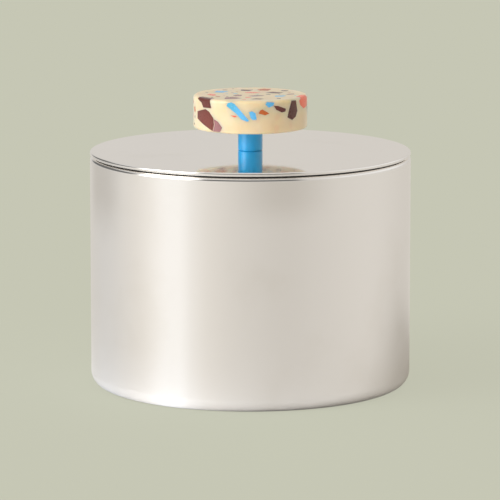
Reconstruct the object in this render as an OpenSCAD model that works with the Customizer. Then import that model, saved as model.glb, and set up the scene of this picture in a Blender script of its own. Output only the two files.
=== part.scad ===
// Round candle tin: a drawn metal cup of wax with three wicks, closed by a flat lid that
// lifts off by a terrazzo knob on a short post.
// The origin is the middle of the base, on the table. +Z is up, and -Y is the front.
// All sizes are in millimetres.

/* [Tin] */
// Outer diameter of the tin and of its lid
tin_d = 105; // [96:1:120]
// Height of the tin from the table to the top of its rim
tin_h = 75.7; // [70:0.1:95]
// Thickness of the sheet that the tin is drawn from
wall = 0.8; // [0.6:0.1:1]
// Outer radius of the rounded edge round the base
base_corner = 4.5; // [3:0.1:7]
// How far the middle of the base stands above the ring that the tin stands on
base_rise = 0.8; // [0.4:0.1:1.2]
// Width of the curled rim, from the outer wall to the mouth
rim_w = 3; // [2.8:0.1:4]
// Outer radius of the curl along the outside of the rim
rim_curl = 1.25; // [1.1:0.05:1.5]

/* [Candle] */
// Height of the wax surface above the table
wax_top = 55; // [40:1:60]
// Diameter of a wick
wick_d = 2.2; // [1.6:0.1:3]
// Length of wick that stands above the wax
wick_trim = 6; // [4:0.5:7]
// Diameter of the circle that the wicks stand on
wick_circle_d = 48; // [40:1:60]
// Diameter of a wick's steel tab and of the foam dot under it
tab_d = 20; // [14:1:25]

/* [Lid] */
// Thickness of the lid plate
plate_t = 1.2; // [1:0.1:1.6]
// Radius of the lid plate's upper edge
plate_edge = 0.6; // [0.3:0.05:0.7]
// Depth of the locating skirt below the lid plate
skirt_h = 8; // [7:0.5:9]
// Thickness of the seal between the rim and the lid plate
seal_t = 0.4; // [0.3:0.05:0.6]

/* [Knob] */
// Diameter of the knob
knob_d = 37.2; // [36:0.1:44]
// Thickness of the knob
knob_h = 10.8; // [10.5:0.1:13]
// Radius of the knob's upper edge
knob_edge = 1; // [0.5:0.1:1.5]
// Diameter of the post that carries the knob
post_d = 8; // [7:0.1:10]
// Length of the post between the lid and the knob
post_h = 7.6; // [6.5:0.1:8.4]

/* [Hidden] */
$fn = 96;
past = 1;                               // how far a cut runs past the face it opens

// Tin
tin_r = tin_d / 2;
mouth_r = tin_r - rim_w;
mouth_curl = 0.9;                       // outer radius of the curl along the mouth
hem_h = 3.4;                            // height of the sheet turned down inside the mouth
foot_w = 3;                             // width of the flat ring that the tin stands on
panel_r = tin_r - base_corner - foot_w; // radius where the raised middle of the base begins
floor_z = wall + base_rise;             // height of the tin's inner floor

// Candle
wick_count = 3;
wick_r = wick_d / 2;
sticker_t = 0.8;
tab_t = 0.4;
neck_h = 5;                             // height of the tab's neck above its disc
neck_wall = 0.5;
tab_z = floor_z + sticker_t;

// Lid and its seal
plate_z = tin_h + seal_t;
plate_top = plate_z + plate_t;
plate_low_edge = 0.3;                   // radius of the lid plate's lower edge
screw_hole_r = 2.2;
fit = 0.05;                             // radial clearance of a part that turns on another
seal_gap = 0.1;                         // clearance between the seal's fins and the mouth
skirt_t = 0.6;
skirt_r = mouth_r - 2.5;                // outer radius of the skirt's wall
skirt_flange_w = 7;                     // width of the flange welded under the lid plate
bead_r = 0.8;                           // radius of the bead rolled round the skirt's foot
seal_sleeve_t = 1.2;
seal_sleeve_h = 5;
fin_t = 0.6;
fin_depths = [2.8, 1.3];                // depths of the seal's two fins below the lid plate

// Knob and what holds it
knob_r = knob_d / 2;
knob_low_edge = 0.8;
knob_z = plate_top + post_h;
post_r = post_d / 2;
post_bore_r = 2.1;
post_bevel = 0.25;
washer_r = 4.5;
washer_t = 0.8;
screw_r = 2;
screw_len = 16;
head_r = 4;
head_h = 2.6;
head_round = 1.2;
cross_w = 0.9;                          // width of a slot of the screw's cross recess
cross_len = 4.2;
cross_deep = 1.5;
insert_r = 2.9;
insert_waist_r = 2.5;
insert_h = 7;
insert_band = 1.8;                      // height of the insert's upper and lower bands
thread_fit = 0.02;

// Terrazzo chips. A chip is a prism let into the resin from the surface that it shows on.
chip_deep = 2.4;                        // how deep a chip goes
chip_gap = 0.2;                         // least resin between two chips
core_r = knob_r - chip_deep;            // chips of the edge lie outside this radius
COLOURS = ["maroon", "mauve", "brown", "blue", "orange", "coral"];

// Chips that were placed by hand on the front of the edge:
// [colour, direction in degrees to the right of the front, outline as [across, up] corners]
FRONT_CHIPS = [
    ["maroon", -53, [[-4.5, 10.3], [-1.8, 9.3], [-0.7, 7.8], [3.3, 7.9], [2.3, 11.2], [-4.2, 11.2]]],
    ["maroon", -45, [[-7.1, 6.1], [-7.1, 3.8], [1.3, 0.5], [1.9, 2.6], [1.6, 4.8], [-0.3, 6.7], [-2.1, 7.4]]],
    ["mauve", -45, [[1.8, 4.5], [2.1, 2.6], [1.5, 0.4], [4.2, 0.4], [5, 1.9], [3.5, 3.7]]],
    ["blue", -13, [[-3.7, 9.1], [-3.3, 10], [-2.1, 10.3], [-1, 9.9], [1, 7.7], [3.8, 4.5], [3.2, 4.2],
        [1.3, 4.9], [-0.5, 6.8], [-2.3, 8.1]]],
    ["coral", -16, [[-1.4, 6.1], [0.4, 6.05], [0.9, 5.6], [-0.1, 5.5]]],
    ["blue", 3, [[-1.4, 7.2], [-0.9, 5.4], [-0.2, 4.7], [1.1, 4.9], [0.7, 6.9], [-0.5, 7.6]]],
    ["orange", 13.5, [[-1.7, 6.8], [0.4, 6.2], [1.9, 6.7], [-0.4, 8.1], [-1.2, 7.8]]],
    ["blue", 20, [[-1.6, 9.7], [-0.4, 8.6], [1.2, 9.3], [1.5, 10.2], [-1, 10.4]]],
    ["maroon", 31, [[-2.2, 9.1], [-1.4, 7.8], [0.7, 6.8], [2.1, 7], [2.3, 7.9], [-0.7, 9]]],
    ["brown", 47, [[-0.4, 10.3], [-1.6, 7.2], [-2.2, 5], [-0.1, 4], [1.7, 4.9], [2.6, 6.7], [1.8, 10.2]]],
    ["coral", 70, [[-3.7, 9.9], [-3.2, 8.5], [-0.6, 7], [3.8, 7.4], [3.9, 11.2], [-1, 11.2]]]
];
front_from = -75;                       // the edge between these directions has only those chips
front_to = 88;

// The other chips are thrown one by one, and a chip stays only where it is clear of the rest.
// A throw is [x, y, reach, number]. On the edge x runs round the knob and y is the height.
throws = 500;
big_reach = 3.4;
small_reach = 0.5;

function reach_of(i) = small_reach + (big_reach - small_reach) * pow(1 - i / throws, 1.4);
function clear_of(chip, kept) = min([past, for (k = kept)
    norm([chip[0] - k[0], chip[1] - k[1]]) - chip[2] - k[2] - chip_gap]) > 0;
function scatter(thrown, kept = [], i = 0) = i == len(thrown)
    ? kept
    : scatter(thrown, clear_of(thrown[i], kept) ? concat(kept, [thrown[i]]) : kept, i + 1);

// Throws over a round face, between an inner radius and the rim
function face_throws(inner, seed) =
    let (turns = rands(0, 360, throws, seed), outs = rands(0, 1, throws, seed + 1))
    [for (i = [0 : throws - 1])
        let (reach = reach_of(i), out = core_r - chip_gap - reach, in = inner + reach)
        let (r = sqrt(in * in + (out * out - in * in) * outs[i]))
        [r * cos(turns[i]), r * sin(turns[i]), reach, i]];

// Throws round the part of the edge that has no chips placed by hand
function edge_throws(seed) =
    let (turns = rands(front_to, 360 + front_from, throws, seed), ups = rands(0, 1, throws, seed + 1))
    [for (i = [0 : throws - 1])
        let (reach = reach_of(i), low = knob_low_edge + reach, high = knob_h - knob_edge - reach)
        [turns[i] * core_r * PI / 180, low + (high - low) * ups[i], reach, i]];

TOP_CHIPS = scatter(face_throws(0, 11));
UNDER_CHIPS = scatter(face_throws(post_r + chip_gap, 23));
EDGE_CHIPS = scatter(edge_throws(37));

// Half-section of a disc of radius r and height h, with rounded lower and upper outer corners
module disc_half(r, h, low, high) {
    translate([0, low])
        square([r, h - low - high]);
    square([r - low, h - high]);
    translate([0, low])
        square([r - high, h - low]);
    translate([r - low, low])
        circle(low);
    translate([r - high, h - high])
        circle(high);
}

// Puts its children at each wick's place on the wick circle
module at_wick(number) {
    rotate([0, 0, 90 + number * 360 / wick_count])
        translate([wick_circle_d / 2, 0, 0])
            children();
}

// ---- Tin ----

// Half-section of the room inside the tin, up to the sheet of its rim
module inside_half() {
    slope = wall * (sqrt(2) - 1);
    difference() {
        translate([0, wall])
            disc_half(tin_r - wall, tin_h - 2 * wall, base_corner - wall, rim_curl - wall);
        polygon([
            [0, 0],
            [panel_r + slope + wall, 0],
            [panel_r + slope - base_rise, floor_z],
            [0, floor_z]
        ]);
    }
}

module tin_body() {
    color("silver") rotate_extrude() difference() {
        disc_half(tin_r, tin_h, base_corner, rim_curl);
        difference() {
            inside_half();
            translate([mouth_r, tin_h - hem_h])
                square([wall, hem_h]);
        }
        // the mouth
        translate([0, tin_h - hem_h])
            square([mouth_r, hem_h + past]);
        difference() {
            translate([mouth_r - past, tin_h - mouth_curl])
                square([past + mouth_curl, mouth_curl + past]);
            translate([mouth_r + mouth_curl, tin_h - mouth_curl])
                circle(mouth_curl);
        }
        // the hollow under the raised middle of the base
        polygon([
            [0, -past],
            [panel_r + past, -past],
            [panel_r - base_rise, base_rise],
            [0, base_rise]
        ]);
    }
}

// ---- Candle ----

module wax_fill() {
    color("ivory") difference() {
        rotate_extrude() intersection() {
            inside_half();
            square([tin_r, wax_top]);
        }
        for (i = [0 : wick_count - 1]) {
            wick(i, past);
            tab_space(i);
            wick_sticker(i);
        }
    }
}

module wick(number, spare = 0) {
    color("white") at_wick(number)
        translate([0, 0, tab_z])
            cylinder(r = wick_r, h = wax_top + wick_trim + spare - tab_z);
}

// A tab's disc and neck, without the hole for the wick
module tab_space(number) {
    at_wick(number)
        translate([0, 0, tab_z]) {
            cylinder(d = tab_d, h = tab_t);
            cylinder(r = wick_r + neck_wall, h = tab_t + neck_h);
        }
}

module wick_tab(number) {
    color("gainsboro") difference() {
        tab_space(number);
        at_wick(number)
            translate([0, 0, floor_z])
                cylinder(r = wick_r, h = tab_t + neck_h + 2 * past);
    }
}

module wick_sticker(number) {
    color("whitesmoke") at_wick(number)
        translate([0, 0, floor_z])
            cylinder(d = tab_d, h = sticker_t);
}

// ---- Lid ----

module lid_gasket() {
    inner = skirt_r + fit;
    outer = inner + seal_sleeve_t;
    flange = tin_r - rim_curl;
    tip = mouth_r - seal_gap;
    fins = [
        for (depth = fin_depths) each [
            [outer, -depth - fin_t],
            [tip, -depth],
            [tip, -depth + fin_t / 2],
            [outer, -depth]
        ]
    ];
    color("dimgray") translate([0, 0, plate_z]) rotate_extrude()
        polygon(concat(
            [[inner, 0], [inner, -seal_sleeve_h], [outer, -seal_sleeve_h]],
            fins,
            [[outer, -seal_t], [flange, -seal_t], [flange, 0]]
        ));
}

module lid_plate() {
    color("silver") translate([0, 0, plate_z]) difference() {
        rotate_extrude()
            disc_half(tin_r, plate_t, plate_low_edge, plate_edge);
        translate([0, 0, -past])
            cylinder(r = screw_hole_r, h = plate_t + 2 * past);
    }
}

module lid_skirt() {
    color("darkgray") translate([0, 0, plate_z]) rotate_extrude() {
        translate([skirt_r - skirt_flange_w, -skirt_t])
            square([skirt_flange_w, skirt_t]);
        translate([skirt_r - skirt_t, bead_r - skirt_h])
            square([skirt_t, skirt_h - bead_r]);
        translate([skirt_r - skirt_t + bead_r, bead_r - skirt_h])
            circle(bead_r);
    }
}

// ---- Knob ----

module knob_screw() {
    head_z = plate_z - washer_t - head_h;
    color("lightgray") translate([0, 0, head_z]) difference() {
        rotate_extrude() {
            disc_half(head_r, head_h, head_round, post_bevel);
            translate([0, head_h - past])
                disc_half(screw_r, screw_len + past, post_bevel, post_bevel);
        }
        for (turn = [0, 90])
            rotate([0, 0, turn])
                translate([-cross_len / 2, -cross_w / 2, -past])
                    cube([cross_len, cross_w, cross_deep + past]);
    }
}

module knob_washer() {
    color("lightgray") translate([0, 0, plate_z - washer_t]) difference() {
        cylinder(r = washer_r, h = washer_t);
        translate([0, 0, -past])
            cylinder(r = screw_hole_r, h = washer_t + 2 * past);
    }
}

module handle_post() {
    color("deepskyblue") translate([0, 0, plate_top]) rotate_extrude()
        polygon([
            [post_bore_r, 0],
            [post_r - post_bevel, 0],
            [post_r, post_bevel],
            [post_r, post_h - post_bevel],
            [post_r - post_bevel, post_h],
            [post_bore_r, post_h]
        ]);
}

// The insert's outside: two bands that grip the resin, with a waist between them
module insert_space() {
    translate([0, 0, knob_z]) {
        cylinder(r = insert_waist_r, h = insert_h);
        for (up = [0, insert_h - insert_band])
            translate([0, 0, up])
                cylinder(r = insert_r, h = insert_band);
    }
}

module knob_insert() {
    tip_z = plate_z - washer_t + screw_len;
    color("goldenrod") difference() {
        insert_space();
        translate([0, 0, knob_z - past])
            cylinder(r = screw_r + thread_fit, h = tip_z + thread_fit - knob_z + past);
    }
}

module knob_blank() {
    translate([0, 0, knob_z]) rotate_extrude()
        disc_half(knob_r, knob_h, knob_low_edge, knob_edge);
}

// Corners of a chip that was thrown: an uneven, flattened ring within its reach
function shard(reach, number) =
    let (corners = 4 + number % 3)
    let (flat = rands(0.5, 1, 1, number)[0], lean = rands(0, 180, 1, number + throws)[0])
    let (cuts = rands(0.7, 1, corners, number), turns = rands(-14, 14, corners, number + throws))
    [for (k = [0 : corners - 1])
        let (a = k * 360 / corners + turns[k], r = reach * cuts[k])
        let (u = r * cos(a), v = r * flat * sin(a))
        [u * cos(lean) - v * sin(lean), u * sin(lean) + v * cos(lean)]];

// A chip let into the edge, in a direction measured to the right of the front
module edge_prism(direction, outline) {
    translate([0, 0, knob_z])
        rotate([0, 0, direction])
            translate([0, -core_r, 0])
                rotate([90, 0, 0])
                    linear_extrude(height = chip_deep + past)
                        polygon(outline);
}

// A chip let into a flat face, from the height low_z up
module face_prism(chip, low_z) {
    translate([chip[0], chip[1], low_z])
        linear_extrude(height = chip_deep + past)
            polygon(shard(chip[2], chip[3]));
}

// The colour of a thrown chip goes round the list of colours
function has_colour(chip, colour) = COLOURS[chip[3] % len(COLOURS)] == colour;

module chip_prisms(colour) {
    for (chip = FRONT_CHIPS)
        if (chip[0] == colour)
            edge_prism(chip[1], chip[2]);
    for (chip = EDGE_CHIPS)
        if (has_colour(chip, colour))
            edge_prism(chip[0] / core_r * 180 / PI,
                [for (corner = shard(chip[2], chip[3])) corner + [0, chip[1]]]);
    for (chip = TOP_CHIPS)
        if (has_colour(chip, colour))
            face_prism(chip, knob_z + knob_h - chip_deep);
    for (chip = UNDER_CHIPS)
        if (has_colour(chip, colour))
            face_prism(chip, knob_z - past);
}

module chips(colour, tint) {
    color(tint) intersection() {
        knob_blank();
        chip_prisms(colour);
    }
}

module knob_disc() {
    color("bisque") difference() {
        knob_blank();
        insert_space();
        for (colour = COLOURS)
            chip_prisms(colour);
    }
}

tin_body();
wax_fill();
wick(0);  // wick_1
wick(1);  // wick_2
wick(2);  // wick_3
wick_tab(0);  // wick_tab_1
wick_tab(1);  // wick_tab_2
wick_tab(2);  // wick_tab_3
wick_sticker(0);  // wick_sticker_1
wick_sticker(1);  // wick_sticker_2
wick_sticker(2);  // wick_sticker_3
lid_gasket();
lid_plate();
lid_skirt();
knob_screw();
knob_washer();
handle_post();
knob_insert();
knob_disc();
chips("maroon", "brown");  // chips_maroon
chips("mauve", "rosybrown");  // chips_mauve
chips("brown", "saddlebrown");  // chips_brown
chips("blue", "skyblue");  // chips_blue
chips("orange", "chocolate");  // chips_orange
chips("coral", "coral");  // chips_coral
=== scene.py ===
import math
import random

import bmesh
import bpy
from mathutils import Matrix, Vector, noise


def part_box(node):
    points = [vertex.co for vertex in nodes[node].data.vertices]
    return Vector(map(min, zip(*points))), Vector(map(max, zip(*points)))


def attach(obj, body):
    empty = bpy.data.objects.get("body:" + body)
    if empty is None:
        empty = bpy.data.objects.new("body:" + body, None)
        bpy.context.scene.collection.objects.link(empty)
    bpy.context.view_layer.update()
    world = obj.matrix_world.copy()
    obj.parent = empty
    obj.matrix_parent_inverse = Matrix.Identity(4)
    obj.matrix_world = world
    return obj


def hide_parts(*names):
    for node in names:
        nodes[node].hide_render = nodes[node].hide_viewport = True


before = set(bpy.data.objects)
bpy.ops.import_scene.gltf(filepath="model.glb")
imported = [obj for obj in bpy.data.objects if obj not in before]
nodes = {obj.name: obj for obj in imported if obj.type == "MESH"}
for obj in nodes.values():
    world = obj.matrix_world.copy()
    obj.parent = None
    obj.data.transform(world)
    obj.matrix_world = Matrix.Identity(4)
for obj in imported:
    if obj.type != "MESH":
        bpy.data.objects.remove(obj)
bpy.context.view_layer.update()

MM = 0.001
scene = bpy.context.scene

# Measures of the frame that everything else is placed by
tin_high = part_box("tin_body")[1]
tin_r = tin_high.x
rim_z = tin_high.z
plate_low, plate_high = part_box("lid_plate")
wax_low, wax_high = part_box("wax_fill")
wax_r = wax_high.x
wax_z = wax_high.z
wick_boxes = [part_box(f"wick_{i}") for i in (1, 2, 3)]
wick_spots = [(low + high) / 2 for low, high in wick_boxes]
wick_r = (wick_boxes[0][1].x - wick_boxes[0][0].x) / 2


# ---- Node trees ----

class Graph:
    """A node tree under construction."""

    def __init__(self, tree):
        self.tree = tree
        tree.nodes.clear()

    def feed(self, socket, value):
        if isinstance(value, bpy.types.NodeSocket):
            self.tree.links.new(value, socket)
        else:
            socket.default_value = value

    def add(self, kind, inputs=None, **settings):
        node = self.tree.nodes.new(kind)
        for name, value in settings.items():
            setattr(node, name, value)
        for name, value in (inputs or {}).items():
            self.feed(node.inputs[name], value)
        return node

    def math(self, operation, a, b=0.0):
        return self.add("ShaderNodeMath", {0: a, 1: b}, operation=operation).outputs[0]

    def ramp(self, factor, stops, interpolation="EASE"):
        """A colour ramp through stops, each a place from 0 to 1 and a colour."""
        node = self.add("ShaderNodeValToRGB", {"Fac": factor})
        band = node.color_ramp
        band.interpolation = interpolation
        while len(band.elements) < len(stops):
            band.elements.new(1.0)
        for element, (place, colour) in zip(band.elements, stops):
            element.position = place
            element.color = (*colour, 1.0)
        return node.outputs["Color"]

    def steps(self, factor, low, high, out_low=0.0, out_high=1.0):
        """A smooth step of the factor between low and high."""
        return self.add("ShaderNodeMapRange", {
            "Value": factor, "From Min": low, "From Max": high, "To Min": out_low, "To Max": out_high,
        }, interpolation_type="SMOOTHSTEP").outputs["Result"]

    def mix(self, factor, a, b, blend="MIX"):
        node = self.add("ShaderNodeMix", data_type="RGBA", blend_type=blend)
        for socket, value in zip((node.inputs[0], node.inputs[6], node.inputs[7]), (factor, a, b)):
            self.feed(socket, value)
        return node.outputs[2]

    def place(self, stretch=(1, 1, 1)):
        """The place on the object in metres, stretched along each axis."""
        spot = self.add("ShaderNodeTexCoord").outputs["Object"]
        return self.add("ShaderNodeMapping", {"Vector": spot, "Scale": stretch}).outputs["Vector"]

    def noise(self, scale, detail=2.0, stretch=(1, 1, 1), roughness=0.5):
        return self.add("ShaderNodeTexNoise", {
            "Vector": self.place(stretch), "Scale": scale, "Detail": detail, "Roughness": roughness,
        }).outputs["Fac"]

    def scaled(self, factor, times, plus):
        return self.math("ADD", self.math("MULTIPLY", factor, times), plus)

    def both(self, *shares):
        """The product of several shares."""
        product = shares[0]
        for share in shares[1:]:
            product = self.math("MULTIPLY", product, share)
        return product

    def vector(self, operation, **inputs):
        """A vector operation on inputs a and b, or on a and a scale."""
        sockets = {{"a": 0, "b": 1, "scale": "Scale"}[name]: value for name, value in inputs.items()}
        return self.add("ShaderNodeVectorMath", sockets, operation=operation).outputs["Vector"]

    def measure(self, operation, a, b=(0, 0, 0)):
        return self.add("ShaderNodeVectorMath", {0: a, 1: b}, operation=operation).outputs["Value"]

    def off_axis(self):
        """The distance from the vertical axis."""
        return self.measure("LENGTH", self.place((1, 1, 0)))

    def turned_lines(self, scale, detail):
        """Fine lines round the axis, as turning and polishing leave them."""
        return self.add("ShaderNodeTexNoise", {"W": self.off_axis(), "Scale": scale, "Detail": detail},
                        noise_dimensions="1D").outputs["Fac"]

    def cells(self, scale):
        return self.add("ShaderNodeTexVoronoi", {"Vector": self.place(), "Scale": scale}).outputs["Distance"]

    def rounding(self, out, up, radius, side, normal):
        """Smooth normals for a rounded edge that runs round the vertical axis, where a mirror would show
        its facets. Its centre is out from the axis and up. It lies above the centre (side 1) or below it
        (side -1). The slope is worked out from the height, which facets keep better than the distance out.
        Elsewhere the normal stays as it is."""
        spot = self.add("ShaderNodeTexCoord").outputs["Object"]
        flat = self.vector("MULTIPLY", a=spot, b=(1, 1, 0))
        gap = self.math("SUBTRACT", self.measure("LENGTH", flat), out)
        lift = self.math("SUBTRACT", self.add("ShaderNodeSeparateXYZ", {0: spot}).outputs["Z"], up)
        sine = self.math("MULTIPLY", lift, 1 / radius)
        left = self.math("SUBTRACT", 1.0, self.math("MULTIPLY", sine, sine))
        cosine = self.math("SQRT", self.math("MAXIMUM", left))
        level = self.vector("SCALE", a=self.vector("NORMALIZE", a=flat), scale=cosine)
        rise = self.add("ShaderNodeCombineXYZ", {"Z": sine}).outputs["Vector"]
        arrow = self.vector("ADD", a=level, b=rise)
        squares = self.math("ADD", self.math("MULTIPLY", gap, gap), self.math("MULTIPLY", lift, lift))
        length = self.math("SQRT", squares)
        on_edge = self.both(
            self.math("GREATER_THAN", length, radius - EDGE_SLACK),
            self.math("LESS_THAN", length, radius + EDGE_SLACK),
            self.math("GREATER_THAN", gap, 0.0),
            self.math("GREATER_THAN", self.math("MULTIPLY", lift, side), 0.0),
        )
        turned = self.add("ShaderNodeVectorTransform", {"Vector": arrow}, vector_type="NORMAL",
                          convert_from="OBJECT", convert_to="WORLD").outputs["Vector"]
        return self.mix(on_edge, normal, self.vector("NORMALIZE", a=turned))

    def bump(self, height, depth, strength=1.0, under=None):
        """A normal bumped by a height from 0 to 1 over a depth in metres."""
        node = self.add("ShaderNodeBump", {"Height": height, "Distance": depth, "Strength": strength})
        if under is not None:
            self.feed(node.inputs["Normal"], under)
        return node.outputs["Normal"]


def material(name, **constants):
    """A material with one principled shader. Returns it, its graph and the shader."""
    made = bpy.data.materials.new(name)
    made.use_nodes = True
    graph = Graph(made.node_tree)
    shader = graph.add("ShaderNodeBsdfPrincipled")
    out = graph.add("ShaderNodeOutputMaterial")
    graph.feed(out.inputs["Surface"], shader.outputs["BSDF"])
    for socket, value in constants.items():
        shader.inputs[socket.replace("_", " ")].default_value = value
    return made, graph, shader


def rgb(r, g, b):
    return (r, g, b, 1.0)


def finish(graph, shader, colour, rough, normal):
    graph.feed(shader.inputs["Base Color"], colour)
    graph.feed(shader.inputs["Roughness"], rough)
    graph.feed(shader.inputs["Normal"], normal)


# ---- Measures of the steel ----

CORNER = 4.5 * MM           # rounding of the tin's foot
WALL = 0.8 * MM
CURL = 1.25 * MM            # rounding of the rim's outer edge
LID_EDGES = (0.3 * MM, 0.6 * MM)    # roundings under and over the lid's edge
EDGE_SLACK = 0.25 * MM      # how far a facet may lie from the rounding that it stands for


# ---- Studio ----

# Brightness and warmth of the studio round the horizon. Each stop is a direction in degrees, where 0 is
# the front and 90 the right.
HORIZON = [
    (-180, 0.68, 1.3), (-140, 0.655, 0.0), (-115, 0.70, 0.1), (-97, 0.77, 0.5), (-84, 0.835, 0.6),
    (-72, 0.955, 0.3), (-62, 1.01, 0.0), (-51, 1.01, 0.0), (-43, 0.895, 0.3), (-31, 0.795, 0.7),
    (-15, 0.72, 0.7), (5, 0.665, 0.7), (25, 0.63, 0.8), (45, 0.66, 0.7), (75, 0.71, 0.7),
    (110, 0.735, 0.6), (150, 0.64, 0.9), (180, 0.68, 1.3),
]
WARM = (1.0, 0.963, 0.91)
KEY_TURN = -62              # where the light comes from, in degrees to the right of the front
KEY_RISE = 21               # and above the horizon
KEY_POWER = 1.7
KEY_SPREAD = 38
KEY_COLOUR = (1.0, 0.985, 0.96)
FILL_TURN = 118             # where a weaker light comes from
FILL_RISE = 8
GLOW_BRIGHT = (1.12, 1.11, 1.10)    # what matt surfaces see towards the light, towards the fill and elsewhere
GLOW_FILL = (0.98, 0.93, 0.80)
GLOW_DIM = (0.30, 0.235, 0.145)
CEILING = (0.72, 0.705, 0.68)
# The light that the lid throws up, on the dim side and on the lit side
LID_THROW = ((0.55, 0.53, 0.48), (2.6, 2.7, 2.8))
# Bright and dark patches that glossy surfaces mirror from above the horizon: the direction of the middle,
# how far to each side it is full and where it's gone, the heights of its foot and head, and its level
PATCHES = [
    (0, 32, 44, 3, 40, 0.17), (-126, 26, 40, 0.5, 24, 0.16),
    (100, 24, 60, 4, 24, 0.88), (-65, 16, 25, 3, 42, 4.5),
]
PATCH_EDGES = (6, 10)       # how softly a patch begins at its foot and ends at its head, in degrees
SHADOW_FILL = 0.88          # how far the shadows on the floor are filled, as seen by the camera
BACKDROP = (0.565, 0.571, 0.462)        # the sage of the backdrop
FLOOR_LIGHT = (0.945, 0.915, 0.875)     # how bright a white floor is under the lights
# Painted shade where the lit table ends in what the wall mirrors: the direction, how far to each side it is
# full and where it's gone, and how far out it starts and is full, in tin radii
PAINTED_SHADE_ENDS = [(24, 2, 44, 7.9, 9.6), (-134, 8, 34, 6.0, 8.8)]
# How dark the painted shade makes the floor, and the painted shade's colour
PAINTED_SHADE_LEVEL = 0.32
PAINTED_SHADE_COLOUR = (0.42, 0.40, 0.37)
FLOOR_HALF = 60             # in tin radii


def heading(turn, rise):
    """The unit vector towards a direction in degrees to the right of the front and above the horizon."""
    a, e = math.radians(turn), math.radians(rise)
    return Vector((math.sin(a) * math.cos(e), -math.cos(a) * math.cos(e), math.sin(e)))


def tinted(level, warmth):
    return tuple(level * (1 - warmth * (1 - c)) for c in WARM)


def compass(graph, spot):
    """The direction of a place or a ray round the tin, from 0 at the back through 0.5 at the front."""
    parts = graph.add("ShaderNodeSeparateXYZ", {"Vector": spot}).outputs
    turn = graph.math("ARCTAN2", parts["X"], graph.math("MULTIPLY", parts["Y"], -1.0))
    return graph.math("ADD", graph.math("DIVIDE", turn, 2 * math.pi), 0.5), parts


def horizon(graph, around):
    stops = [(0.5 + turn / 360, tinted(level, warmth)) for turn, level, warmth in HORIZON]
    return graph.ramp(around, stops, "B_SPLINE")


def near_turn(graph, around, turn, full, gone):
    """1 within some degrees of a direction, falling to 0 further round."""
    off = graph.math("ABSOLUTE", graph.math("SUBTRACT", around, 0.5 + turn / 360))
    return graph.steps(off, full / 360, gone / 360, 1.0, 0.0)


def build_world():
    """A pale studio. In the metal it mirrors as soft bands round the horizon, soft boxes above them and
    a dim front and ceiling. Matt surfaces are lit by a broad soft glow from the front left."""
    world = bpy.data.worlds.new("studio")
    scene.world = world
    world.use_nodes = True
    graph = Graph(world.node_tree)
    ray = graph.add("ShaderNodeTexCoord").outputs["Generated"]
    around, parts = compass(graph, ray)
    up = graph.math("MULTIPLY", graph.math("ARCSINE", parts["Z"]), 2 / math.pi)
    wall = horizon(graph, around)
    for turn, full, gone, low, high, level in PATCHES:
        rise = graph.math("MULTIPLY", graph.steps(up, low / 90, (low + PATCH_EDGES[0]) / 90),
                          graph.steps(up, high / 90, (high + PATCH_EDGES[1]) / 90, 1.0, 0.0))
        patch = graph.math("MULTIPLY", rise, near_turn(graph, around, turn, full, gone))
        wall = graph.mix(patch, wall, rgb(level, level, 0.98 * level))
    ceiling = graph.mix(graph.steps(up, 0.65, 0.85), wall, rgb(*CEILING))
    towards = graph.measure("DOT_PRODUCT", ray, heading(KEY_TURN, KEY_RISE))
    fill = graph.measure("DOT_PRODUCT", ray, heading(FILL_TURN, FILL_RISE))
    dim = graph.mix(graph.steps(fill, 0.35, 1.0), rgb(*GLOW_DIM), rgb(*GLOW_FILL))
    glow = graph.mix(graph.steps(towards, -0.25, 1.0), dim, rgb(*GLOW_BRIGHT))
    seen = graph.add("ShaderNodeLightPath").outputs
    bounced = graph.math("MINIMUM", seen["Diffuse Depth"], 1.0)
    thrown = graph.mix(graph.steps(towards, 0.0, 0.9), rgb(*LID_THROW[0]), rgb(*LID_THROW[1]))
    mirrored = graph.mix(bounced, ceiling, thrown)
    lighting = graph.mix(seen["Is Glossy Ray"], glow, mirrored)
    shown = graph.mix(seen["Is Camera Ray"], lighting, rgb(*BACKDROP))
    back = graph.add("ShaderNodeBackground", {"Color": shown})
    out = graph.add("ShaderNodeOutputWorld")
    graph.feed(out.inputs["Surface"], back.outputs["Background"])


def mirrored_turn(graph, round_tin, out_from):
    """The direction in which the tin's wall mirrors a place on the floor to the front. Bands laid out by
    it run straight down the wall, and far from the tin it's the direction of the place itself."""
    turn = graph.math("MULTIPLY", graph.math("SUBTRACT", round_tin, 0.5), 2 * math.pi)
    share = graph.math("MINIMUM", graph.math("DIVIDE", tin_r, out_from), 0.999)
    mirrored = turn
    for _ in range(3):
        leaving = graph.math("SINE", graph.math("MULTIPLY", mirrored, 0.5))
        mirrored = graph.math("ADD", turn, graph.math("ARCSINE", graph.math("MULTIPLY", share, leaving)))
    return graph.math("ADD", graph.math("DIVIDE", mirrored, 2 * math.pi), 0.5)


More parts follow.
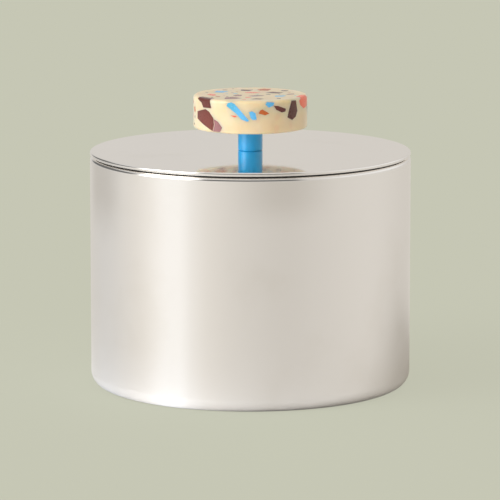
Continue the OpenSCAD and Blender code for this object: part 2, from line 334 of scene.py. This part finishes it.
def build_floor():
    """A plain pale floor. What mirrors in the metal is painted light: a white table with the studio's bands
    painted on it.
    """
    mesh = bpy.data.meshes.new("floor")
    half = FLOOR_HALF * tin_r
    corners = [(-half, -half, 0), (half, -half, 0), (half, half, 0), (-half, half, 0)]
    mesh.from_pydata(corners, [], [(0, 1, 2, 3)])
    floor = bpy.data.objects.new("floor", mesh)
    scene.collection.objects.link(floor)
    made, graph, shader = material("pale_floor", Roughness=0.9, Specular_IOR_Level=0.0)
    round_tin, parts = compass(graph, graph.place())
    out_from = graph.measure("LENGTH", graph.place())
    around = mirrored_turn(graph, round_tin, out_from)
    # Painted light: away from the camera the floor is coloured in the studio's bands round the tin, a pool of
    # light that the metal mirrors.
    bands = graph.mix(1.0, horizon(graph, around), rgb(*(1 / light for light in FLOOR_LIGHT)), "MULTIPLY")
    # Painted shade: the floor darkens towards the painted shade's colour beyond the end of the lit table
    ends = [graph.both(near_turn(graph, around, turn, full, gone),
                       graph.steps(out_from, start * tin_r, end * tin_r))
            for turn, full, gone, start, end in PAINTED_SHADE_ENDS]
    painted_shade_share = graph.math("MULTIPLY", graph.math("ADD", *ends), PAINTED_SHADE_LEVEL)
    table = graph.mix(painted_shade_share, bands, rgb(*PAINTED_SHADE_COLOUR))
    seen = graph.add("ShaderNodeLightPath").outputs
    shown = rgb(*((1 - SHADOW_FILL) * c / light for c, light in zip(BACKDROP, FLOOR_LIGHT)))
    graph.feed(shader.inputs["Base Color"], graph.mix(seen["Is Camera Ray"], table, shown))
    graph.feed(shader.inputs["Emission Color"], rgb(*BACKDROP))
    filled = graph.math("MULTIPLY", seen["Is Camera Ray"], SHADOW_FILL)
    graph.feed(shader.inputs["Emission Strength"], filled)
    mesh.materials.append(made)


def build_key():
    """The soft directional light. It doesn't mirror in the metal: the bands stand in for it there."""
    data = bpy.data.lights.new("key", "SUN")
    data.energy = KEY_POWER
    data.angle = math.radians(KEY_SPREAD)
    data.color = KEY_COLOUR
    lamp = bpy.data.objects.new("key", data)
    lamp.rotation_mode = "QUATERNION"
    lamp.rotation_quaternion = heading(KEY_TURN, KEY_RISE).to_track_quat("Z", "Y")
    lamp.visible_glossy = False
    scene.collection.objects.link(lamp)


CAMERA_AWAY = 24.0          # in tin radii, along -Y
CAMERA_UP = 4.864
CAMERA_TILT = 80.48         # degrees from looking straight down
CAMERA_LENS = 279.7         # mm, on a sensor 36 mm wide
CAMERA_SHIFT = -0.0007


def build_camera():
    data = bpy.data.cameras.new("camera")
    data.lens = CAMERA_LENS
    data.sensor_width = 36
    data.clip_start = 0.05
    data.clip_end = 20
    data.dof.use_dof = False
    data.shift_x = CAMERA_SHIFT
    camera = bpy.data.objects.new("camera", data)
    camera.location = (0, -CAMERA_AWAY * tin_r, CAMERA_UP * tin_r)
    camera.rotation_euler = (math.radians(CAMERA_TILT), 0, 0)
    scene.collection.objects.link(camera)
    scene.camera = camera


# ---- Materials ----

STEEL = rgb(0.94, 0.912, 0.88)
STEEL_HAZE = rgb(0.885, 0.852, 0.807)


def polished_steel(name, streak_stretch, edges, rings=False):
    """Mirror-polished sheet with faint polishing lines, a light haze and a few smudges. Each edge is the
    centre's distance out and up, the radius and the side of a rounding."""
    made, graph, shader = material(name, Metallic=1.0)
    smudge = graph.steps(graph.noise(38, 4.0), 0.52, 0.72)
    lines = graph.turned_lines(4200.0, 3.0) if rings else graph.noise(900, 3.0, streak_stretch)
    colour = graph.mix(graph.math("MULTIPLY", smudge, 0.5), STEEL, STEEL_HAZE)
    rough = graph.math("ADD", graph.math("MULTIPLY", smudge, 0.03), graph.math("MULTIPLY", lines, 0.025))
    normal = graph.add("ShaderNodeNewGeometry").outputs["Normal"]
    for out, up, radius, side in edges:
        normal = graph.rounding(out, up, radius, side, normal)
    fine = graph.bump(lines, 0.0000015, 0.5, normal)
    wavy = graph.bump(graph.noise(30, 1.0), 0.000012, 0.5, fine)
    finish(graph, shader, colour, graph.math("ADD", rough, 0.035), wavy)
    return made


def drawn_steel(name, colour, grain=2500, rough=0.3):
    """Plain bright steel with a satin grain from drawing and turning."""
    made, graph, shader = material(name, Metallic=1.0)
    lines = graph.turned_lines(grain, 4.0)
    dark = rgb(*(0.72 * c for c in colour))
    blotched = graph.mix(graph.steps(graph.noise(120, 3.0), 0.35, 0.75), rgb(*colour), dark)
    finish(graph, shader, blotched, graph.scaled(lines, 0.2, rough - 0.1), graph.bump(lines, 0.00001, 0.6))
    return made


def cream_resin():
    """Cast cream resin: cloudy, a little see-through, honed smooth, with pinholes darkened by painted shade.
    """
    made, graph, shader = material("cream_resin", Subsurface_Weight=0.6, Subsurface_Scale=0.005,
                                   IOR=1.5, Coat_Weight=0.35, Coat_Roughness=0.3)
    shader.inputs["Subsurface Radius"].default_value = (1.0, 0.62, 0.34)
    cloud = graph.noise(160, 3.0)
    base = graph.ramp(cloud, [
        (0.25, (0.80, 0.615, 0.385)), (0.5, (0.85, 0.665, 0.43)), (0.8, (0.88, 0.73, 0.505)),
    ])
    peach = graph.steps(graph.noise(210, 1.0, (1.0, 1.3, 0.8)), 0.60, 0.72, 0.0, 0.35)
    patched = graph.mix(peach, base, rgb(0.84, 0.52, 0.34))
    yellow = graph.steps(graph.noise(190, 1.0, (1.4, 0.9, 1.1)), 0.62, 0.74, 0.0, 0.35)
    patched = graph.mix(yellow, patched, rgb(0.84, 0.72, 0.30))
    pores = graph.both(graph.steps(graph.cells(900.0), 0.10, 0.16, 1.0, 0.0),
                       graph.steps(graph.noise(500, 1.0), 0.60, 0.66))
    # Painted shade: the pinholes are darkened towards a darker copy of the resin's colour.
    colour = graph.mix(graph.math("MULTIPLY", pores, 0.4), patched, rgb(0.45, 0.33, 0.20))
    rough = graph.scaled(graph.noise(700, 3.0), 0.14, 0.24)
    grind = graph.bump(graph.noise(2600, 2.0), 0.000006, 0.5)
    finish(graph, shader, colour, rough, graph.bump(pores, -0.00006, 0.7, grind))
    return made


def chip(name, light, dark, speck):
    """A coloured stone chip, ground flush: each piece has its own tone, with fine grains in it."""
    made, graph, shader = material(name, IOR=1.5, Subsurface_Weight=0.08, Subsurface_Scale=0.001)
    tone = graph.noise(95, 0.0)
    grain = graph.noise(1700, 4.0, roughness=0.65)
    body = graph.mix(graph.steps(tone, 0.36, 0.64), rgb(*light), rgb(*dark))
    grained = graph.mix(graph.steps(grain, 0.52, 0.70, 0.0, 0.45), body, rgb(*speck))
    finish(graph, shader, grained, graph.scaled(grain, 0.2, 0.2), graph.bump(grain, 0.000008, 0.5))
    return made


def blue_enamel():
    """Satin blue enamel on the post, a little uneven, with a soft clear shine."""
    made, graph, shader = material("blue_enamel", IOR=1.5, Specular_IOR_Level=0.3, Coat_Weight=0.8,
                                   Coat_IOR=1.6, Coat_Roughness=0.28)
    colour = graph.ramp(graph.noise(260, 2.0), [(0.3, (0.002, 0.40, 0.92)), (0.7, (0.004, 0.45, 0.97))])
    rough = graph.scaled(graph.noise(1500, 3.0), 0.15, 0.3)
    finish(graph, shader, colour, rough, graph.bump(graph.noise(1300, 2.0), 0.000012, 0.5))
    return made


def silicone():
    """Black silicone with a little dust on it."""
    made, graph, shader = material("silicone", Subsurface_Weight=0.05, Subsurface_Scale=0.001, IOR=1.43)
    dust = graph.steps(graph.noise(1400, 4.0), 0.60, 0.74, 0.0, 0.5)
    colour = graph.mix(dust, rgb(0.030, 0.029, 0.028), rgb(0.11, 0.105, 0.10))
    pits = graph.bump(graph.noise(900, 3.0), 0.00002, 0.5)
    finish(graph, shader, colour, graph.scaled(dust, 0.3, 0.45), pits)
    return made


def candle_wax():
    """Soft white wax: glows a little, with frosting and a faint bloom."""
    made, graph, shader = material("candle_wax", Subsurface_Weight=0.7, Subsurface_Scale=0.006, IOR=1.43)
    shader.inputs["Subsurface Radius"].default_value = (1.0, 0.8, 0.55)
    frost = graph.steps(graph.noise(70, 5.0, roughness=0.62), 0.46, 0.66)
    colour = graph.mix(frost, rgb(0.88, 0.83, 0.71), rgb(0.93, 0.91, 0.84))
    fine = graph.bump(graph.noise(650, 4.0), 0.00005, 0.6)
    finish(graph, shader, colour, graph.scaled(frost, 0.25, 0.3), graph.bump(frost, 0.0001, 0.5, fine))
    return made


def cotton():
    """Waxed cotton yarn."""
    made, graph, shader = material("waxed_cotton", Subsurface_Weight=0.3, Subsurface_Scale=0.001,
                                   Sheen_Weight=0.3)
    fibre = graph.noise(4200, 4.0, (1, 1, 0.25))
    colour = graph.ramp(fibre, [(0.3, (0.62, 0.57, 0.46)), (0.7, (0.85, 0.81, 0.71))])
    finish(graph, shader, colour, graph.scaled(fibre, 0.3, 0.5), graph.bump(fibre, 0.00008, 0.8))
    return made


def foam():
    """White open-cell foam of the adhesive dots, with painted shade darkening its cells."""
    made, graph, shader = material("foam_dot", IOR=1.4)
    cells = graph.cells(2600.0)
    # Painted shade: darker towards the middle of each cell, where the foam's holes are.
    colour = graph.ramp(cells, [(0.1, (0.55, 0.55, 0.53)), (0.6, (0.82, 0.82, 0.80))])
    finish(graph, shader, colour, graph.scaled(cells, 0.2, 0.7), graph.bump(cells, 0.0001, 0.8))
    return made


def brass():
    """Turned brass with a light tarnish."""
    made, graph, shader = material("insert_brass", Metallic=1.0)
    tarnish = graph.steps(graph.noise(500, 4.0), 0.45, 0.70)
    colour = graph.mix(tarnish, rgb(0.80, 0.61, 0.30), rgb(0.55, 0.38, 0.17))
    lines = graph.noise(3500, 2.0, (0.1, 0.1, 1.0))
    finish(graph, shader, colour, graph.scaled(tarnish, 0.2, 0.22), graph.bump(lines, 0.00002, 0.5))
    return made


def paint(node, made):
    """Gives a CAD node a material, on its object and not on its mesh."""
    piece = nodes[node]
    for held in piece.material_slots:
        held.link = "OBJECT"
        held.material = made


# Each chip node's light and dark tones and the colour of its grains
CHIPS = {
    "chips_maroon": ((0.175, 0.043, 0.032), (0.118, 0.026, 0.020), (0.25, 0.095, 0.072)),
    "chips_mauve": ((0.36, 0.17, 0.17), (0.25, 0.10, 0.115), (0.46, 0.27, 0.26)),
    "chips_brown": ((0.16, 0.047, 0.031), (0.098, 0.029, 0.021), (0.22, 0.09, 0.062)),
    "chips_blue": ((0.13, 0.51, 0.90), (0.085, 0.44, 0.68), (0.28, 0.62, 0.92)),
    "chips_orange": ((0.60, 0.135, 0.022), (0.50, 0.10, 0.020), (0.72, 0.25, 0.08)),
    "chips_coral": ((0.95, 0.18, 0.09), (0.90, 0.20, 0.12), (0.95, 0.33, 0.22)),
}


def paint_nodes():
    """A material for every CAD node that shows."""
    curl = (tin_r - CURL, rim_z - CURL, CURL, 1)
    foot = (tin_r - CORNER, CORNER, CORNER, -1)
    paint("tin_body", polished_steel("tin_steel", (0.02, 0.02, 1.0), [curl, foot]))
    small, big = LID_EDGES
    under = (tin_r - small, plate_low.z + small, small, -1)
    over = (tin_r - big, plate_high.z - big, big, 1)
    paint("lid_plate", polished_steel("lid_steel", (1, 1, 1), [under, over], rings=True))
    paint("lid_skirt", drawn_steel("skirt_steel", (0.66, 0.64, 0.61)))
    zinc = drawn_steel("zinc_plate", (0.62, 0.63, 0.65), 5200, 0.28)
    paint("knob_screw", zinc)
    paint("knob_washer", zinc)
    paint("knob_insert", brass())
    paint("handle_post", blue_enamel())
    paint("knob_disc", cream_resin())
    paint("lid_gasket", silicone())
    for node, colours in CHIPS.items():
        paint(node, chip(node, *colours))
    tin_plate = drawn_steel("tab_steel", (0.68, 0.68, 0.67), 3800, 0.26)
    dots = foam()
    for i in (1, 2, 3):
        paint(f"wick_tab_{i}", tin_plate)
        paint(f"wick_sticker_{i}", dots)


# ---- Pieces made here ----

def new_piece(name, mesh_maker, made, body, slot, *replaced):
    """Makes a smooth mesh piece with a material. It rides on a body in place of CAD nodes."""
    mesh = bpy.data.meshes.new(name)
    shape = bmesh.new()
    mesh_maker(shape)
    bmesh.ops.recalc_face_normals(shape, faces=shape.faces)
    shape.to_mesh(mesh)
    shape.free()
    mesh.polygons.foreach_set("use_smooth", [True] * len(mesh.polygons))
    mesh.materials.append(made)
    piece = bpy.data.objects.new(name, mesh)
    scene.collection.objects.link(piece)
    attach(piece, body)
    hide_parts(*replaced)
    return piece


SPOKES = 360                # steps round a turned piece


def arc(out, up, radius, start, end, steps):
    """Points of an arc round a centre, from one angle to another in degrees above outwards."""
    turns = [math.radians(start + (end - start) * k / steps) for k in range(steps + 1)]
    return [(out + radius * math.cos(t), up + radius * math.sin(t)) for t in turns]


def lathe(shape, profile):
    """Turns a profile of (radius, height) points round the vertical axis. A height of None is left at 0, to
    be filled in by the caller."""
    turns = [2 * math.pi * k / SPOKES for k in range(SPOKES)]
    rings = []
    for out, up in profile:
        around = turns if out > 0 else [0.0]
        spots = [(out * math.cos(t), out * math.sin(t), up or 0.0) for t in around]
        rings.append([shape.verts.new(spot) for spot in spots])
    for near, far in zip(rings, rings[1:]):
        for k in range(SPOKES):
            after = (k + 1) % SPOKES
            around_face = ((near, k), (far, k), (far, after), (near, after))
            corners = [ring[turn % len(ring)] for ring, turn in around_face]
            shape.faces.new(list(dict.fromkeys(corners)))


WAX_RINGS = 90
MENISCUS = 0.9 * MM         # how far the wax climbs the wall
MENISCUS_W = 2.2 * MM
MOUND = 0.8 * MM            # how far it climbs a wick
MOUND_W = 2.4 * MM
WAX_DIP = 0.5 * MM          # the slow sink between the wicks and the wall
RIPPLES = [(0.12 * MM, 90, 0), (0.05 * MM, 330, 3)]     # height, fineness and place in the noise


def wax_level(x, y):
    """Height of the wax surface: it climbs the wall and the wicks and sinks a little between them."""
    out = math.hypot(x, y)
    climb = MENISCUS * math.exp(-(wax_r - out) / MENISCUS_W)
    near = min(math.hypot(x - s.x, y - s.y) for s in wick_spots)
    mound = MOUND * math.exp(-max(0.0, near - wick_r) / MOUND_W)
    dip = WAX_DIP * math.sin(math.pi * min(1.0, out / wax_r)) ** 2
    ripple = sum(height * noise.noise(Vector((x, y, z)) * fine) for height, fine, z in RIPPLES)
    return wax_z - MENISCUS + climb + mound - dip + ripple


def wax_shape(shape):
    """A cake of wax: its uneven top, its side, and a rounded foot over a flat underside."""
    foot_r = CORNER - WALL
    rings = [wax_r * math.sin((i + 1) / WAX_RINGS * math.pi / 2) ** 0.9 for i in range(WAX_RINGS)]
    top = [(0.0, None)] + [(out, None) for out in rings]
    side = [(wax_r, wax_z - 6 * MM), (wax_r, wax_z - 20 * MM)]
    foot = arc(wax_r - foot_r, wax_low.z + foot_r, foot_r, 0, -90, 6)
    lathe(shape, top + side + foot + [(0.0, wax_low.z)])
    for spot in shape.verts:
        if spot.co.z == 0:
            spot.co.z = wax_level(spot.co.x, spot.co.y)


def tube(shape, path, radii, sides=10):
    """A closed tube along a path of points."""
    rings = []
    for i, point in enumerate(path):
        ahead = path[min(i + 1, len(path) - 1)] - path[max(i - 1, 0)]
        if i == 0:
            across = ahead.orthogonal().normalized()
        else:
            across = (across - ahead * across.dot(ahead) / ahead.dot(ahead)).normalized()
        up = ahead.normalized().cross(across)
        turns = [2 * math.pi * k / sides for k in range(sides)]
        offsets = [(across * math.cos(t) + up * math.sin(t)) * radii[i] for t in turns]
        rings.append([shape.verts.new(point + offset) for offset in offsets])
    for low, high in zip(rings, rings[1:]):
        for k in range(sides):
            after = (k + 1) % sides
            shape.faces.new((low[k], low[after], high[after], high[k]))
    shape.faces.new(rings[0][::-1])
    shape.faces.new(rings[-1])


STRANDS = 3
TURN_PER_M = 2 * math.pi / (5.0 * MM)     # the braid's lay
STRAND_STEPS = 64
WICK_UNDER = 4 * MM                       # how far the drawn braid goes into the wax
LEAN = 0.25 * MM                          # how far a wick's tip may lean
CUT_SPREAD = 0.25 * MM                    # how uneven the cut strands are
YARN_ENDS = 14
YARN_RADII = [0.09 * MM, 0.08 * MM, 0.03 * MM]
YARN_FOOT = 1.0 * MM                      # how far below the tip a loose yarn end starts
YARN_SPLAY = 0.12 * MM
WICK_SEED = 40


def wick_shape(low, high, seed):
    """A braided wick: strands that weave round and across the axis, and cut yarn ends at the top."""
    dice = random.Random(seed)
    middle = (low + high) / 2
    start, end = wax_z - WICK_UNDER, high.z
    strand_r = wick_r * 0.44
    lean = Vector((dice.uniform(-1, 1), dice.uniform(-1, 1), 0)) * LEAN

    def build(shape):
        for strand in range(STRANDS):
            phase = 2 * math.pi * strand / STRANDS
            path, radii = [], []
            for i in range(STRAND_STEPS + 1):
                share = i / STRAND_STEPS
                if i == STRAND_STEPS:
                    z = end - CUT_SPREAD * dice.random()
                else:
                    z = start + (end - start) * share * 0.985
                turn = TURN_PER_M * z + phase
                weave = Vector((math.cos(turn), math.sin(2 * turn) * 0.8, 0)) * (wick_r - strand_r)
                path.append(Vector((middle.x, middle.y, z)) + weave + lean * share * share)
                radii.append(strand_r * (1 + 0.06 * math.sin(9 * turn)))
            tube(shape, path, radii)
        for _ in range(YARN_ENDS):
            turn = dice.uniform(0, 2 * math.pi)
            ahead = Vector((math.cos(turn), math.sin(turn), 0))
            out = wick_r * 0.8 * math.sqrt(dice.random())
            foot = Vector((middle.x, middle.y, end - YARN_FOOT)) + ahead * out + lean
            tip = foot + ahead * YARN_SPLAY + Vector((0, 0, dice.uniform(0.7, 0.98) * MM))
            tube(shape, [foot, (foot + tip) / 2, tip], YARN_RADII, 6)

    return build


def build_candle():
    new_piece("wax_cake", wax_shape, candle_wax(), "tin", "wax", "wax_fill")
    yarn = cotton()
    for i, (low, high) in enumerate(wick_boxes, 1):
        shape = wick_shape(low, high, WICK_SEED + i)
        new_piece(f"braided_wick_{i}", shape, yarn, "tin", "wick_cotton", f"wick_{i}")


# ---- The scene ----

scene.view_settings.view_transform = "Standard"
build_camera()
build_world()
build_floor()
build_key()
paint_nodes()
build_candle()
